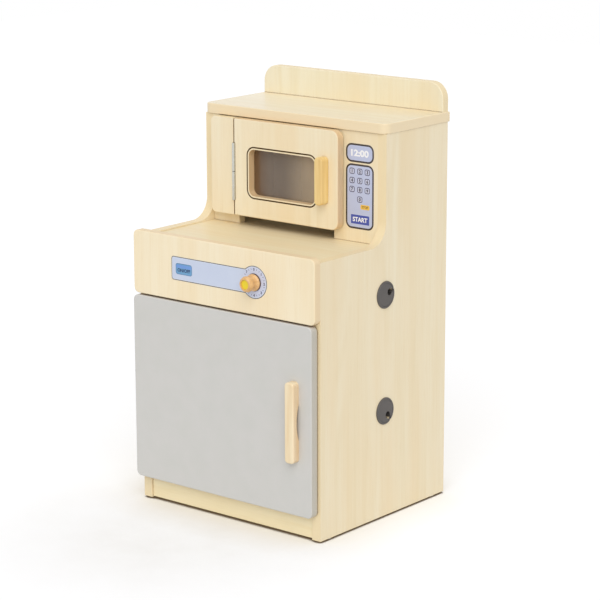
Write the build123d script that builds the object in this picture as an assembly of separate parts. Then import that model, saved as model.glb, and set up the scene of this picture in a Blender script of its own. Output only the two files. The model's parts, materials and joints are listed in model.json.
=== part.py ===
from build123d import *
import os

# A wooden play kitchen: a stepped cabinet whose back half rises above the worktop as a
# small microwave oven, with a cupboard below. Millimetres, Z up, X to the right, Y to the
# back. The pieces are drawn about the middle of the cabinet's front edge, and moved at the
# end so that the origin lies on the floor below the middle of the whole thing.

# Boards
side_board = 18.0
face_board = 15.0
back_thickness = 5.0
shelf_board = 15.0
edge_round = 2.0
fine_edge_round = 1.0
corner_round = 10.0
fit_gap = 0.2

# Cabinet
cabinet_width = 408.0
cabinet_depth = 358.0
floor_gap = 3.0
toe_height = 47.0
toe_setback = 3.0
toe_lift = 2.0
worktop_top = 487.0
side_lip = 2.5
step_depth = 180.0
step_radius = 40.0
upper_height = 195.0
back_inset = 8.0
groove_depth = 5.0
upper_shelf_space = 132.0
shelf_setback = 20.0

# Top board and splash board
top_front_overhang = 4.0
top_back_overhang = 3.2
top_side_overhang = 1.6
top_corner_radius = 15.0
splash_height = 52.0
splash_radius = 30.0

# Fascia and cupboard door
fascia_bottom = 384.0
fascia_height = 113.5
fascia_door_gap = 3.0
door_right_inset = 5.0
door_bottom_overlap = 4.0
front_left_overhang = 2.2
hinge_gap = 2.5

# Microwave front
oven_door_gap = 4.0
post_width = 59.2
control_width = 94.8
strip_inset = 9.7
strip_width = 53.0
oven_door_overlap = 22.0
oven_door_lift = 19.0
oven_door_top_gap = 1.3
oven_door_corner = 14.0
window_radius = 12.0
window_left_margin = 33.3
window_right_margin = 50.7
window_base_margin = 38.8
window_top_margin = 51.7
groove_offset = 2.75
groove_width = 2.0
groove_cut = 1.5
pane_margin = 8.0
pane_corner = 4.0
pane_thickness = 2.0

# Handles
oven_handle_size = (18.0, 18.0, 84.0)
oven_handle_from_right = 29.7
oven_handle_lift = 86.0
oven_handle_corner = 7.0
cupboard_handle_size = (20.0, 15.0, 142.0)
cupboard_handle_from_right = 37.5
cupboard_handle_drop = 168.5
cupboard_handle_corner = 7.0
finger_arch_length = 64.0
finger_arch_depth = 6.0
handle_edge_round = 3.0

# Lift-off hinges
leaf_thickness = 1.1
oven_hinge_length = 103.0
oven_knuckle_radius = 2.8
oven_barrel_stand = 1.2
oven_leaf_width = 15.4
oven_hinge_drop = 95.5
cupboard_hinge_length = 64.0
cupboard_knuckle_radius = 2.6
cupboard_leaf_width = 18.5
cupboard_hinge_inset = 55.0
knuckle_clearance = 0.3
hinge_washer_thickness = 1.0
hinge_washer_inset = 0.6
pin_radius = 1.5
pin_clearance = 0.07
pin_end_cover = 2.5

# Magnet catches
catch_size = (12.0, 15.0, 44.0)
magnet_size = (5.0, 9.0, 24.0)
pole_thickness = 1.2
strike_size = (10.0, 1.1, 30.0)
catch_air_gap = 0.4
catch_corner = 2.0
oven_catch_lift = 86.0
cupboard_catch_drop = 92.0
bumper_radius = 4.0
bumper_corner_inset = 11.0
bumper_air_gap = 0.3

# Dial
dial_from_centre = 72.6
dial_drop = 56.5
dial_length = 24.6
dial_heel_radius = 13.0
dial_back_radius = 14.6
dial_back_thickness = 3.5
dial_waist_radius = 11.3
dial_waist_from_back = 12.0
dial_front_radius = 13.5
dial_front_thickness = 8.0
dial_heel_curve = 3.0
dial_bulb_curve = 8.0
dial_rim_radius = 10.8
dial_dot_radius = 8.4
dial_dot_recess = 2.8
dial_dot_thickness = 0.9
dial_washer_radius = 6.0
dial_washer_thickness = 1.0
dial_shank_radius = 2.0
dial_head_radius = 3.8
dial_head_thickness = 2.4
dial_grip_depth = 17.0
running_clearance = 0.1
turning_gap = 0.3

# Printed labels
label_thickness = 0.3
fascia_label_height = 42.0
fascia_label_length = 188.0
fascia_label_corner = 5.0
dial_ring_radius = 28.5
control_label_width = 60.2
control_label_inset = 8.8
clock_label_height = 32.5
clock_label_drop = 22.3
keypad_label_height = 113.5
label_gap = 2.9
control_label_corner = 12.0

# Cable grommets
grommet_flange_radius = 24.0
grommet_flange_thickness = 2.5
grommet_sleeve_radius = 20.3
grommet_bore_radius = 18.5
grommet_recess_radius = 20.5
grommet_recess_depth = 1.5
grommet_cap_gap = 0.3
grommet_skirt_clearance = 0.08
grommet_skirt_wall = 1.4
grommet_skirt_length = 8.0
grommet_slot_width = 12.0
grommet_slot_start = 4.0
grommet_notch_width = 5.0
upper_slot_angle = 22.0
lower_slot_angle = -52.0

# Fasteners
screw_shank_radius = 1.5
screw_head_radius = 2.8
pan_head_height = 1.6
pilot_clearance = 0.05
dowel_radius = 4.0
dowel_depth = 12.0
dowel_inset = 70.0
fascia_dowel_inset = 20.0
dowel_clearance = 0.1
shelf_pin_radius = 2.5
shelf_pin_reach = 8.0
shelf_pin_inset = 50.0
glide_radius = 7.0
glide_stem_radius = 2.5
glide_stem_length = 9.0
glide_inset = 30.0
strip_screw_inset = 30.0
strip_screw_bite = 12.0

# Levels and planes worked out from the sizes above
half_width = cabinet_width / 2
inner_x = half_width - side_board
side_bottom = floor_gap
floor_under = side_bottom + toe_height
floor_top = floor_under + side_board
worktop_under = worktop_top - side_board
shelf_top = worktop_under - upper_shelf_space
shelf_under = shelf_top - shelf_board
side_step_top = worktop_top + side_lip
top_under = worktop_top + upper_height
top_top = top_under + side_board
back_front_y = cabinet_depth - back_inset - back_thickness
fascia_top = fascia_bottom + fascia_height
door_back_y = -hinge_gap
door_front_y = door_back_y - face_board
door_bottom = floor_under - door_bottom_overlap
door_top = fascia_bottom - fascia_door_gap
door_left = -half_width - front_left_overhang
door_right = half_width - door_right_inset
oven_back_y = step_depth - oven_door_gap
oven_front_y = oven_back_y - face_board
strip_left = -inner_x + strip_inset
strip_right = strip_left + strip_width
control_left = inner_x - control_width
oven_left = strip_right + hinge_gap
oven_right = control_left + oven_door_overlap
oven_bottom = worktop_top + oven_door_lift
oven_top = top_under - oven_door_top_gap
window_width = oven_right - oven_left - window_left_margin - window_right_margin
window_height = oven_top - oven_bottom - window_base_margin - window_top_margin
window_x = oven_left + window_left_margin + window_width / 2
window_z = oven_bottom + window_base_margin + window_height / 2
post_right = -inner_x + post_width
dial_z = fascia_top - dial_drop
grommet_slot_middle = grommet_slot_start + grommet_slot_width / 2

parts = {}


def block(x_span, y_span, z_span):
    """A box from its lowest to its highest X, Y and Z."""
    spans = (x_span, y_span, z_span)
    middle = [(low + high) / 2 for low, high in spans]
    return Pos(*middle) * Box(*[high - low for low, high in spans])


def front_face(y, x=0.0, z=0.0):
    """The upright plane at depth y that looks forwards, with X to the right and Z up."""
    return Plane(origin=(x, y, z), x_dir=(1, 0, 0), z_dir=(0, -1, 0))


def rod(start, direction, length, radius):
    """A round bar from start along direction."""
    return extrude(Plane(origin=start, z_dir=direction) * Circle(radius), length)


def round_corners(sketch, radius, keep):
    """Rounds the corners of a flat outline for which keep is true."""
    return fillet([corner for corner in sketch.vertices() if keep(corner)], radius)


def soften_front(shape, radius, keep=lambda edge: True):
    """Rounds the edges of the face that lies furthest forwards, where keep is true."""
    front = shape.faces().sort_by(Axis.Y)[0]
    return fillet([edge for edge in front.edges() if keep(edge)], radius)


def countersink(start, direction, clearance):
    """The conical head of a countersunk screw, grown by a clearance."""
    cone = Cone(
        screw_head_radius + clearance, screw_shank_radius + clearance, leaf_thickness,
        align=(Align.CENTER, Align.CENTER, Align.MIN),
    )
    return Plane(origin=start, z_dir=direction) * cone


def sunk_screw(start, direction, length):
    """A countersunk screw whose head lies flush at start."""
    return countersink(start, direction, 0) + rod(start, direction, length, screw_shank_radius)


def sunk_hole(start, direction, length):
    """The room that a countersunk screw takes, with its clearance."""
    shank = rod(start, direction, length + pilot_clearance, screw_shank_radius + pilot_clearance)
    return countersink(start, direction, pilot_clearance) + shank


def pan_screw(start, direction, length):
    """A screw whose round head stands on the surface at start."""
    top = Vector(*start) - Vector(*direction) * pan_head_height
    head = rod(top, direction, pan_head_height, screw_head_radius)
    rim = head.edges().group_by(Axis(top, direction))[0]
    return chamfer(rim, pan_head_height / 2) + rod(start, direction, length, screw_shank_radius)


def pan_hole(start, direction, length):
    return rod(start, direction, length + pilot_clearance, screw_shank_radius + pilot_clearance)


def cut(names, tool):
    """Takes a tool out of each of the named parts."""
    for name in names:
        parts[name] = parts[name] - tool


# Cabinet


def side_outline():
    """The stepped side seen from the right: low over the worktop, high behind it."""
    corners = [
        (0, side_bottom), (cabinet_depth, side_bottom), (cabinet_depth, top_under),
        (step_depth, top_under), (step_depth, side_step_top), (0, side_step_top),
    ]
    outline = make_face(Polyline(*corners, close=True))
    inner = Vector(step_depth, side_step_top)
    return round_corners(outline, step_radius, lambda v: (Vector(v.X, v.Y) - inner).length < edge_round)


def make_side(outer_x, inwards):
    """One side board, with the groove that takes the back board."""
    board = Plane.YZ.offset(outer_x) * extrude(side_outline(), side_board * inwards)
    face_x = outer_x + side_board * inwards
    groove_x = sorted((face_x, face_x - groove_depth * inwards))
    groove_y = (back_front_y, back_front_y + back_thickness + fit_gap)
    return board - block(groove_x, groove_y, (side_bottom - 1, top_under + 1))


def make_carcass():
    parts["side_panel_left"] = make_side(-half_width, 1)
    parts["side_panel_right"] = make_side(half_width, -1)
    across = (-inner_x, inner_x)
    rear_y = back_front_y - fit_gap
    parts["bottom_board"] = block(across, (0, rear_y), (floor_under, floor_top))
    parts["worktop"] = block(across, (0, rear_y), (worktop_under, worktop_top))
    parts["toe_board"] = block(
        across, (toe_setback, toe_setback + face_board), (side_bottom + toe_lift, floor_under)
    )
    tucked = inner_x + groove_depth - fit_gap
    parts["back_panel"] = block(
        (-tucked, tucked), (back_front_y, back_front_y + back_thickness), (floor_under, top_under - fit_gap)
    )
    loose = (-inner_x + fit_gap, inner_x - fit_gap)
    shelf = block(loose, (shelf_setback, rear_y), (shelf_under, shelf_top))
    front_edges = (shelf.edges() | Axis.X).group_by(Axis.Y)[0]
    parts["cupboard_shelf"] = fillet(front_edges, edge_round)


def make_top():
    low_y = step_depth - top_front_overhang
    high_y = cabinet_depth + top_back_overhang
    reach = half_width + top_side_overhang
    outline = Pos(0, (low_y + high_y) / 2) * Rectangle(2 * reach, high_y - low_y)
    outline = round_corners(outline, top_corner_radius, lambda v: v.Y < low_y + 1)
    board = Pos(0, 0, top_under) * extrude(outline, side_board)
    board = fillet((board.edges() | Plane.XY).group_by(Axis.Z)[-1], edge_round)
    parts["top_board"] = fillet((board.edges() | Plane.XY).group_by(Axis.Z)[0], fine_edge_round)

    outline = Rectangle(cabinet_width, splash_height, align=(Align.CENTER, Align.MIN))
    tall = front_face(cabinet_depth, z=top_top) * outline
    tall = round_corners(tall, splash_radius, lambda v: v.Z > top_top + 1)
    splash = extrude(tall, face_board)
    parts["splash_board"] = soften_front(splash, edge_round, lambda edge: edge.center().Z > top_top + 1)


def make_fascia():
    """The board under the worktop's edge, which carries the dial."""
    middle_z = (fascia_bottom + fascia_top) / 2
    width = half_width - door_left
    outline = RectangleRounded(width, fascia_height, corner_round)
    outline = front_face(0, half_width - width / 2, middle_z) * outline
    parts["fascia_board"] = soften_front(extrude(outline, face_board), edge_round)


def make_oven_front():
    """The two boards beside the oven's mouth, and the strip that carries its hinge."""
    depth = (step_depth, step_depth + face_board)
    height = (worktop_top, top_under)
    for name, span in (("left_post", (-inner_x, post_right)), ("control_board", (control_left, inner_x))):
        board = block(span, depth, height)
        parts[name] = soften_front(board, fine_edge_round, lambda edge: abs(edge.tangent_at(0).X) > 0.5)
    middle = ((strip_left + strip_right) / 2, (oven_bottom + oven_top) / 2)
    outline = front_face(step_depth, *middle) * Rectangle(strip_width, oven_top - oven_bottom)
    outline = round_corners(outline, corner_round, lambda v: v.X < middle[0])
    strip = extrude(outline, face_board + oven_door_gap)
    parts["hinge_strip"] = soften_front(strip, fine_edge_round, lambda edge: edge.center().X < strip_right - 1)


# Doors


def door_panel(x_span, z_span, back_y, corner, rounded):
    """A door board whose outline is rounded by corner at each point where rounded is true."""
    middle = (sum(x_span) / 2, sum(z_span) / 2)
    outline = front_face(back_y, *middle) * Rectangle(x_span[1] - x_span[0], z_span[1] - z_span[0])
    return extrude(round_corners(outline, corner, rounded), face_board)


def make_cupboard_door():
    panel = door_panel(
        (door_left, door_right), (door_bottom, door_top), door_back_y, corner_round, lambda v: True
    )
    parts["cupboard_door_panel"] = soften_front(panel, edge_round)


def window_prism(growth, from_y, depth):
    """A rounded block of the window's outline, grown by growth, from from_y forwards."""
    outline = RectangleRounded(
        window_width + 2 * growth, window_height + 2 * growth, window_radius + growth
    )
    return extrude(front_face(from_y, window_x, window_z) * outline, depth)


def make_oven_door():
    """The oven door: a see-through pane behind a routed window, ringed by a fine groove."""
    panel = door_panel(
        (oven_left, oven_right), (oven_bottom, oven_top), oven_back_y, oven_door_corner, lambda v: v.X > window_x
    )
    panel = soften_front(panel, edge_round, lambda edge: edge.center().X > oven_left + 1)
    panel = panel - window_prism(0, oven_back_y + 1, face_board + 2)
    groove_back = oven_front_y + groove_cut
    ring = window_prism(groove_offset + groove_width, groove_back, groove_cut + 1)
    ring = ring - window_prism(groove_offset, groove_back + 1, groove_cut + 3)
    parts["microwave_door_panel"] = panel - ring
    pane = RectangleRounded(window_width + 2 * pane_margin, window_height + 2 * pane_margin, pane_corner)
    plane = front_face(oven_back_y + pane_thickness, window_x, window_z)
    parts["window_pane"] = extrude(plane * pane, pane_thickness)

    screws = []
    for side in (-1, 1):
        for end in (-1, 1):
            x = window_x + side * (window_width + pane_margin) / 2
            z = window_z + end * (window_height + pane_margin) / 2
            start = (x, oven_back_y + pane_thickness, z)
            length = pane_thickness + face_board / 2
            screws.append(pan_screw(start, (0, -1, 0), length))
            cut(("window_pane", "microwave_door_panel"), pan_hole(start, (0, -1, 0), length))
    parts["window_pane_screws"] = screws


def handle_block(size, corner, base_y, x, z):
    """A wooden bar handle standing on a door's face."""
    width, depth, height = size
    outline = front_face(base_y, x, z) * RectangleRounded(width, height, corner)
    return soften_front(extrude(outline, depth), handle_edge_round)


def fasten_handle(handle_name, door_name, back_y, x, z, spacing, depth):
    """Two screws from the back of the door into its handle."""
    screws = []
    for end in (-1, 1):
        start = (x, back_y, z + end * spacing / 2)
        length = face_board + depth * 2 / 3
        screws.append(pan_screw(start, (0, -1, 0), length))
        cut((handle_name, door_name), pan_hole(start, (0, -1, 0), length))
    parts[handle_name + "_screws"] = screws


def make_handles():
    x = oven_right - oven_handle_from_right
    z = oven_bottom + oven_handle_lift
    parts["microwave_handle"] = handle_block(oven_handle_size, oven_handle_corner, oven_front_y, x, z)
    spacing = oven_handle_size[2] * 2 / 3
    fasten_handle("microwave_handle", "microwave_door_panel", oven_back_y, x, z, spacing, oven_handle_size[1])

    x = door_right - cupboard_handle_from_right
    z = door_top - cupboard_handle_drop
    bar = handle_block(cupboard_handle_size, cupboard_handle_corner, door_front_y, x, z)
    half_chord = finger_arch_length / 2
    arch_radius = (half_chord**2 + finger_arch_depth**2) / (2 * finger_arch_depth)
    arch_y = door_front_y - finger_arch_depth + arch_radius
    wide = cupboard_handle_size[0]
    parts["cupboard_handle"] = bar - rod((x - wide, arch_y, z), (1, 0, 0), 2 * wide, arch_radius)
    spacing = (cupboard_handle_size[2] + finger_arch_length) / 2
    depth = cupboard_handle_size[1]
    fasten_handle("cupboard_handle", "cupboard_door_panel", door_back_y, x, z, spacing, depth)


# Hinges


def hinge_leaf(side, knuckle_side, length, width, knuckle_radius):
    """One leaf, cut back beside the other leaf's knuckle, and its own half of the barrel.

    The pin stands on the Z axis and the leaf lies along +Y. side is +1 for the leaf on the +X
    side, and knuckle_side is +1 for the upper half of the barrel."""
    air = hinge_gap - 2 * leaf_thickness
    inner, outer = air / 2, air / 2 + leaf_thickness
    plate = block(sorted((side * inner, side * outer)), (0, width), (-length / 2, length / 2))
    far_edges = (plate.edges() | Axis.X).group_by(Axis.Y)[-1]
    plate = fillet(far_edges, leaf_thickness * 2)
    clear = knuckle_radius + knuckle_clearance
    other_half = sorted((0, -knuckle_side * length))
    half_washer = hinge_washer_thickness / 2
    notch_z = (other_half[0] - half_washer, other_half[1] + half_washer)
    plate = plate - block((-clear, clear), (-1, clear), notch_z)
    barrel_length = length / 2 - half_washer
    barrel = rod((0, 0, knuckle_side * half_washer), (0, 0, knuckle_side), barrel_length, knuckle_radius)
    return plate + barrel


def screw_heights(length, count):
    """Screw positions along a leaf, spread evenly about its middle."""
    step = length / count
    return [(row - (count - 1) / 2) * step for row in range(count)]


def lift_off_hinge(length, width, knuckle_radius, screw_count, fixed_bite, moving_bite):
    """A lift-off hinge: the fixed half carries the pin, and the moving half drops onto it."""
    fixed = hinge_leaf(-1, -1, length, width, knuckle_radius)
    moving = hinge_leaf(1, 1, length, width, knuckle_radius)
    pin_top = length / 2 - pin_end_cover
    fixed = fixed + rod((0, 0, -length / 4), (0, 0, 1), pin_top + length / 4, pin_radius)
    bore = rod((0, 0, -1), (0, 0, 1), pin_top + 1 + knuckle_clearance, pin_radius + pin_clearance)
    moving = moving - bore
    ring = Circle(knuckle_radius - hinge_washer_inset) - Circle(pin_radius + pin_clearance)
    thick = hinge_washer_thickness - 2 * pin_clearance
    washer = Pos(0, 0, -thick / 2) * extrude(ring, thick)
    pieces = {"fixed": fixed, "moving": moving, "washer": washer}
    air = hinge_gap / 2 - leaf_thickness
    screw_y = (knuckle_radius + knuckle_clearance + width) / 2
    for leaf, side, bite in (("fixed", -1, fixed_bite), ("moving", 1, moving_bite)):
        screws, holes = [], []
        for z in screw_heights(length, screw_count):
            start = (side * air, screw_y, z)
            screws.append(sunk_screw(start, (side, 0, 0), bite))
            holes.append(sunk_hole(start, (side, 0, 0), bite))
        for hole in holes:
            pieces[leaf] = pieces[leaf] - hole
        pieces[leaf + "_screws"] = screws
        pieces[leaf + "_holes"] = holes
    return pieces


def oven_hinge_point():
    """The middle of the oven hinge's pin, just in front of the door's face."""
    return (strip_right + oven_left) / 2, oven_front_y - oven_barrel_stand, oven_top - oven_hinge_drop


def make_oven_hinge():
    """The hinge between strip and door, whose barrel lies in a cove along both edges."""
    bite = face_board - leaf_thickness
    hinge = lift_off_hinge(oven_hinge_length, oven_leaf_width, oven_knuckle_radius, 3, bite, bite)
    x, y, z = oven_hinge_point()
    place = Pos(x, y, z)
    half_cove = oven_hinge_length / 2 + knuckle_clearance
    cove = rod((x, y, z - half_cove), (0, 0, 1), 2 * half_cove, oven_knuckle_radius + knuckle_clearance)
    cut(("hinge_strip", "microwave_door_panel"), cove)
    parts["microwave_hinge_fixed_leaf"] = place * hinge["fixed"]
    parts["microwave_hinge_door_leaf"] = place * hinge["moving"]
    parts["microwave_hinge_washer"] = place * hinge["washer"]
    parts["microwave_hinge_fixed_screws"] = [place * screw for screw in hinge["fixed_screws"]]
    parts["microwave_hinge_door_screws"] = [place * screw for screw in hinge["moving_screws"]]
    for hole in hinge["fixed_holes"]:
        cut(("hinge_strip",), place * hole)
    for hole in hinge["moving_holes"]:
        cut(("microwave_door_panel",), place * hole)


def make_cupboard_hinges():
    """Two hinges folded between the door's back and the left side's front edge."""
    groups = {"fixed": [], "moving": [], "washer": [], "fixed_screws": [], "moving_screws": []}
    x = door_left - cupboard_knuckle_radius - knuckle_clearance
    for z in (door_bottom + cupboard_hinge_inset, door_top - cupboard_hinge_inset):
        hinge = lift_off_hinge(
            cupboard_hinge_length, cupboard_leaf_width, cupboard_knuckle_radius, 2,
            face_board, face_board - 2 * leaf_thickness,
        )
        place = Pos(x, -hinge_gap / 2, z) * Rot(0, 0, -90)
        for key in ("fixed", "moving", "washer"):
            groups[key].append(place * hinge[key])
        for key in ("fixed_screws", "moving_screws"):
            groups[key] += [place * screw for screw in hinge[key]]
        for hole in hinge["fixed_holes"]:
            cut(("side_panel_left",), place * hole)
        for hole in hinge["moving_holes"]:
            cut(("cupboard_door_panel",), place * hole)
    parts["cupboard_hinge_fixed_leaves"] = groups["fixed"]
    parts["cupboard_hinge_door_leaves"] = groups["moving"]
    parts["cupboard_hinge_washers"] = groups["washer"]
    parts["cupboard_hinge_fixed_screws"] = groups["fixed_screws"]
    parts["cupboard_hinge_door_screws"] = groups["moving_screws"]


# Catches and bumpers


def magnet_catch(prefix, wall_x, front_y, z, reach, wall_name):
    """A block catch on the face at wall_x, whose magnet stands reach in front of front_y."""
    width, depth, height = catch_size
    body = block((wall_x - width, wall_x), (front_y, front_y + depth), (z - height / 2, z + height / 2))
    outer_edges = (body.edges() | Axis.Y).group_by(Axis.X)[0]
    body = fillet(outer_edges, catch_corner)
    mid_x = wall_x - width / 2
    half_magnet, magnet_depth, magnet_height = magnet_size[0] / 2, magnet_size[1], magnet_size[2]
    y_span = (front_y - reach, front_y - reach + magnet_depth)
    z_span = (z - magnet_height / 2, z + magnet_height / 2)
    half_stack = half_magnet + pole_thickness
    magnet = block((mid_x - half_magnet, mid_x + half_magnet), (y_span[0] + fit_gap, y_span[1]), z_span)
    poles = [
        block((mid_x - half_stack, mid_x - half_magnet), y_span, z_span),
        block((mid_x + half_magnet, mid_x + half_stack), y_span, z_span),
    ]
    pocket = block(
        (mid_x - half_stack - fit_gap, mid_x + half_stack + fit_gap),
        (front_y - 1, y_span[1] + fit_gap),
        (z_span[0] - fit_gap, z_span[1] + fit_gap),
    )
    parts[prefix + "_catch_body"] = body - pocket
    parts[prefix + "_catch_magnet"] = [magnet] + poles
    for end in (-1, 1):
        start = (wall_x - width, front_y + depth / 2, z + end * (height + magnet_height) / 4)
        length = width + face_board / 2
        parts["catch_screws"].append(sunk_screw(start, (1, 0, 0), length))
        cut((prefix + "_catch_body", wall_name), sunk_hole(start, (1, 0, 0), length))


def strike_plate(prefix, x, back_y, z, door_name):
    """The steel plate on the door's back that the magnet holds."""
    wide, thick, tall = strike_size
    plate = block((x - wide / 2, x + wide / 2), (back_y, back_y + thick), (z - tall / 2, z + tall / 2))
    start = (x, back_y + thick, z)
    length = thick + face_board / 2
    parts[prefix + "_strike_plate"] = plate
    parts[prefix + "_strike_screw"] = sunk_screw(start, (0, -1, 0), length)
    cut((prefix + "_strike_plate", door_name), sunk_hole(start, (0, -1, 0), length))


def make_catches():
    parts["catch_screws"] = []
    for prefix, wall_x, front_y, z, back_y, wall_name, door_name in (
        ("microwave", control_left, step_depth + fit_gap, oven_bottom + oven_catch_lift, oven_back_y,
         "control_board", "microwave_door_panel"),
        ("cupboard", inner_x, fit_gap, door_top - cupboard_catch_drop, door_back_y,
         "side_panel_right", "cupboard_door_panel"),
    ):
        reach = front_y - back_y - strike_size[1] - catch_air_gap
        magnet_catch(prefix, wall_x, front_y, z, reach, wall_name)
        strike_plate(prefix, wall_x - catch_size[0] / 2, back_y, z, door_name)


def bumper(x, back_y, z, height):
    """A soft dome that the door closes against."""
    dome = rod((x, back_y, z), (0, 1, 0), height, bumper_radius)
    return chamfer((dome.edges() | GeomType.CIRCLE).group_by(Axis.Y)[-1], height / 2)


def make_bumpers():
    parts["microwave_door_bumpers"] = [
        bumper(oven_right - bumper_corner_inset, oven_back_y, z, oven_door_gap - bumper_air_gap)
        for z in (oven_bottom + bumper_corner_inset, oven_top - bumper_corner_inset)
    ]
    over_side = (door_right + inner_x) / 2
    parts["cupboard_door_bumpers"] = [
        bumper(over_side, door_back_y, z, hinge_gap - bumper_air_gap)
        for z in (door_bottom + bumper_corner_inset, door_top - bumper_corner_inset)
    ]


# Dial


def dial_profile():
    """Half of the dial's section, radius against distance from its back face.

    A broad flange at the back narrows to a waist, and swells again to the bulb that is gripped."""
    flange = (dial_back_radius, dial_back_thickness)
    shoulder = (dial_front_radius, dial_length - dial_front_thickness)
    floor = dial_length - dial_dot_recess
    neck = ThreePointArc(flange, (dial_waist_radius, dial_waist_from_back), shoulder)
    bulb = RadiusArc(shoulder, (dial_rim_radius, dial_length), -dial_bulb_curve)
    front = Polyline(
        (dial_rim_radius, dial_length), (dial_dot_radius, dial_length), (dial_dot_radius, floor),
        (0, floor), (0, 0), (dial_heel_radius, 0),
    )
    heel = RadiusArc((dial_heel_radius, 0), flange, -dial_heel_curve)
    return make_face([*neck.edges(), *bulb.edges(), *front.edges(), *heel.edges()])


def make_dial():
    """A turned knob on a machine screw that runs in a hole through the fascia."""
    x, back_y = dial_from_centre, -face_board - label_thickness - turning_gap
    place = Pos(x, back_y, dial_z) * Rot(0, 0, 180)
    knob = place * revolve(dial_profile(), Axis.Y)
    grip = rod((x, back_y, dial_z), (0, -1, 0), dial_grip_depth, dial_shank_radius + pilot_clearance)
    parts["dial_knob"] = knob - grip
    floor_y = back_y - dial_length + dial_dot_recess
    dot_radius = dial_dot_radius - running_clearance
    parts["dial_dot"] = rod((x, floor_y, dial_z), (0, -1, 0), dial_dot_thickness, dot_radius)

    bore = rod((x, 0, dial_z), (0, -1, 0), 2 * face_board, dial_shank_radius + running_clearance)
    cut(("fascia_board", "fascia_label"), bore)
    ring = Circle(dial_washer_radius) - Circle(dial_shank_radius + running_clearance)
    washer_y = dial_washer_thickness
    parts["dial_washer"] = extrude(front_face(washer_y, x, dial_z) * ring, dial_washer_thickness)
    head_y = washer_y + turning_gap
    head = rod((x, head_y, dial_z), (0, 1, 0), dial_head_thickness, dial_head_radius)
    head = chamfer((head.edges() | GeomType.CIRCLE).group_by(Axis.Y)[-1], dial_head_thickness / 2)
    shank = rod((x, head_y, dial_z), (0, -1, 0), head_y - back_y + dial_grip_depth, dial_shank_radius)
    parts["dial_screw"] = head + shank


# Printed labels


def make_labels():
    strip_left_end = dial_from_centre - fascia_label_length
    strip = Pos((strip_left_end + dial_from_centre) / 2, 0) * Rectangle(fascia_label_length, fascia_label_height)
    strip = round_corners(strip, fascia_label_corner, lambda v: v.X < strip_left_end + 1)
    outline = strip + Pos(dial_from_centre, 0) * Circle(dial_ring_radius)
    parts["fascia_label"] = extrude(front_face(-face_board, z=dial_z) * outline, label_thickness)

    label_x = inner_x - control_label_inset - control_label_width / 2
    label_top = top_under - clock_label_drop
    for name, height in (("clock_label", clock_label_height), ("keypad_label", keypad_label_height)):
        outline = RectangleRounded(control_label_width, height, control_label_corner)
        plane = front_face(step_depth, label_x, label_top - height / 2)
        parts[name] = extrude(plane * outline, label_thickness)
        label_top -= height + label_gap


# Cable grommets


def slot_outline(reach):
    """The cable slot: a round pocket that narrows to a mouth at reach from the middle."""
    pocket = Pos(grommet_slot_middle, 0) * Circle(grommet_slot_width / 2)
    mouth = Pos(reach, 0) * Rectangle(fine_edge_round, grommet_notch_width)
    return make_hull([*pocket.edges(), *mouth.edges()])


def make_grommet(prefix, z, slot_angle):
    """A liner pushed into the side board, and the slotted cap that turns in it."""
    y = cabinet_depth / 2
    outside = Plane(origin=(half_width, y, z), x_dir=(0, 1, 0), z_dir=(1, 0, 0))
    seat = grommet_flange_thickness - grommet_recess_depth
    flange = extrude(Circle(grommet_flange_radius), grommet_flange_thickness)
    flange = chamfer((flange.edges() | GeomType.CIRCLE).group_by(Axis.Z)[-1], fine_edge_round)
    liner = flange + extrude(Circle(grommet_sleeve_radius), -side_board)
    liner = liner - Pos(0, 0, seat) * extrude(Circle(grommet_recess_radius), grommet_flange_thickness)
    liner = liner - extrude(Circle(grommet_bore_radius), seat + side_board, both=True)
    turned = Rot(0, 0, slot_angle)
    notch = Rectangle(grommet_flange_radius + 1, grommet_notch_width, align=(Align.MIN, Align.CENTER))
    liner = liner - turned * Pos(0, 0, seat) * extrude(notch, grommet_flange_thickness)
    way = Rectangle(grommet_sleeve_radius, grommet_notch_width, align=(Align.MIN, Align.CENTER))
    liner = liner - turned * extrude(way, grommet_skirt_length, both=True)

    under = seat + running_clearance
    disc = extrude(Circle(grommet_recess_radius - grommet_cap_gap), grommet_flange_thickness - under)
    disc = chamfer((disc.edges() | GeomType.CIRCLE).group_by(Axis.Z)[-1], grommet_cap_gap)
    skirt_radius = grommet_bore_radius - grommet_skirt_clearance
    skirt = Circle(skirt_radius) - Circle(skirt_radius - grommet_skirt_wall)
    cap = disc + extrude(skirt, -grommet_skirt_length)
    slot = extrude(slot_outline(grommet_recess_radius), grommet_skirt_length + 1, both=True)
    cap = Pos(0, 0, under) * turned * (cap - slot)

    parts[prefix + "_grommet_liner"] = outside * liner
    parts[prefix + "_grommet_cap"] = outside * cap
    hole_radius = grommet_sleeve_radius + fit_gap
    cut(("side_panel_right",), rod((inner_x, y, z), (1, 0, 0), side_board, hole_radius))


def make_grommets():
    """One grommet for each space of the cupboard, level with its middle."""
    make_grommet("upper", (shelf_top + worktop_under) / 2, upper_slot_angle)
    make_grommet("lower", (floor_top + shelf_under) / 2, lower_slot_angle)


# Joints of the cabinet


def peg(first, second, point, direction):
    """A dowel across the joint at point, half in each board."""
    along, centre = Vector(*direction), Vector(*point)
    parts["cabinet_dowels"].append(rod(centre - along * dowel_depth, direction, 2 * dowel_depth, dowel_radius))
    reach = dowel_depth + dowel_clearance
    cut((first, second), rod(centre - along * reach, direction, 2 * reach, dowel_radius + dowel_clearance))


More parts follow.
